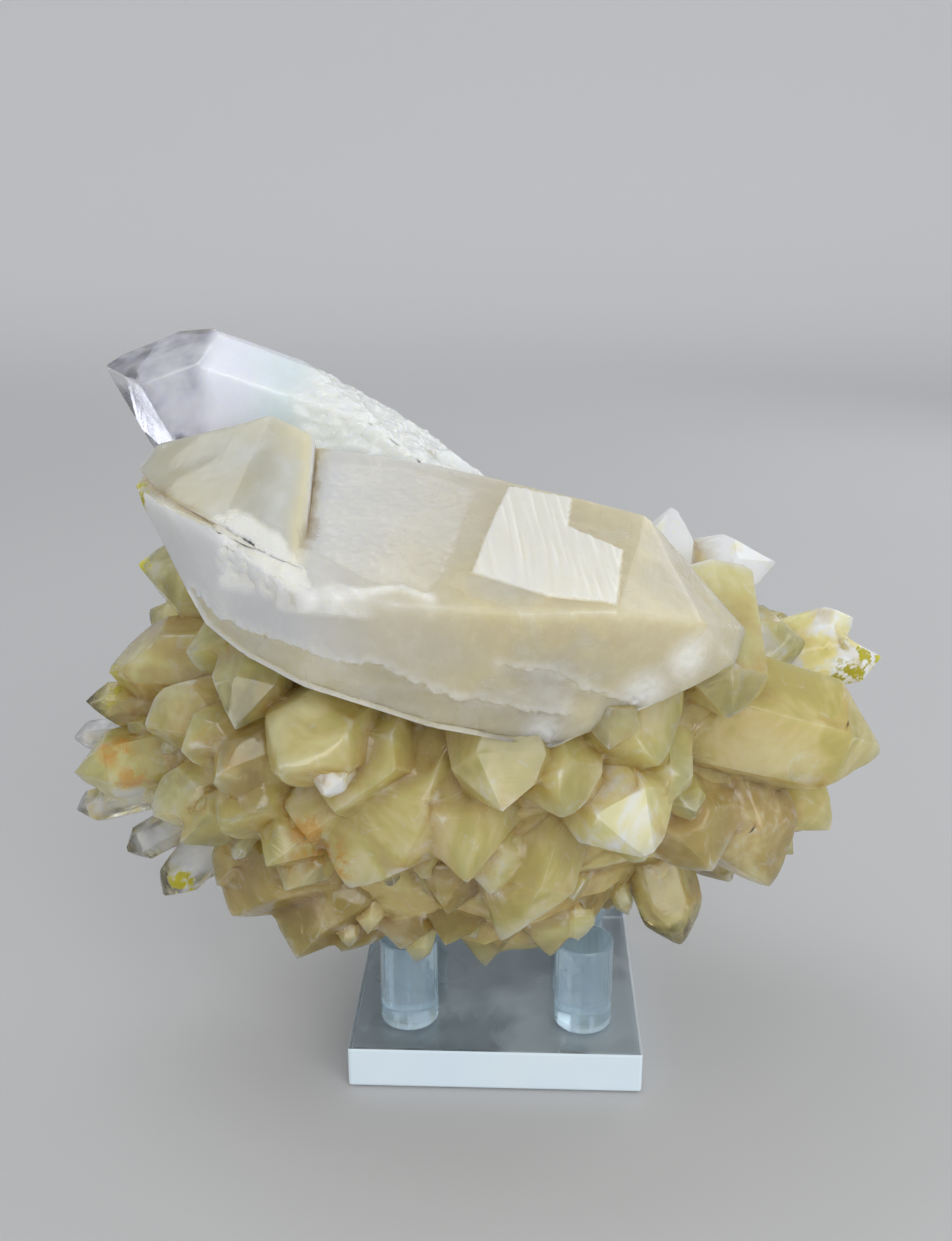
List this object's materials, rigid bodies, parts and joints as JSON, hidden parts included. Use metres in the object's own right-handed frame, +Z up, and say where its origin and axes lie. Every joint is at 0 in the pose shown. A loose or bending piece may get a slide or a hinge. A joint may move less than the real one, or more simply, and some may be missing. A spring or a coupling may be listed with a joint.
{
  "type": "chlorite quartz crystal cluster on a peg stand",
  "caption": "Milky and clear quartz crystals with chlorite and iron staining, grown together in one cluster that rests on a clear acrylic base with upright pegs.",
  "frame": {"origin": "centre of the underside of the stand's square base", "axes": "+Z up, +X to the right and along the cluster's length, +Y away from the viewer"},
  "size_m": [0.1782, 0.11, 0.1581],
  "materials": {
    "quartz": "milky to clear natural quartz, glossy crystal faces, green-yellow chlorite and orange iron stain",
    "acrylic": "clear cast acrylic with polished faces and edges"
  },
  "bodies": {
    "root": {"quartz_cluster": "quartz", "stand_base": "acrylic", "peg_front_left": "acrylic", "peg_front_right": "acrylic", "peg_back_left": "acrylic", "peg_back_right": "acrylic"}
  },
  "joints": []
}
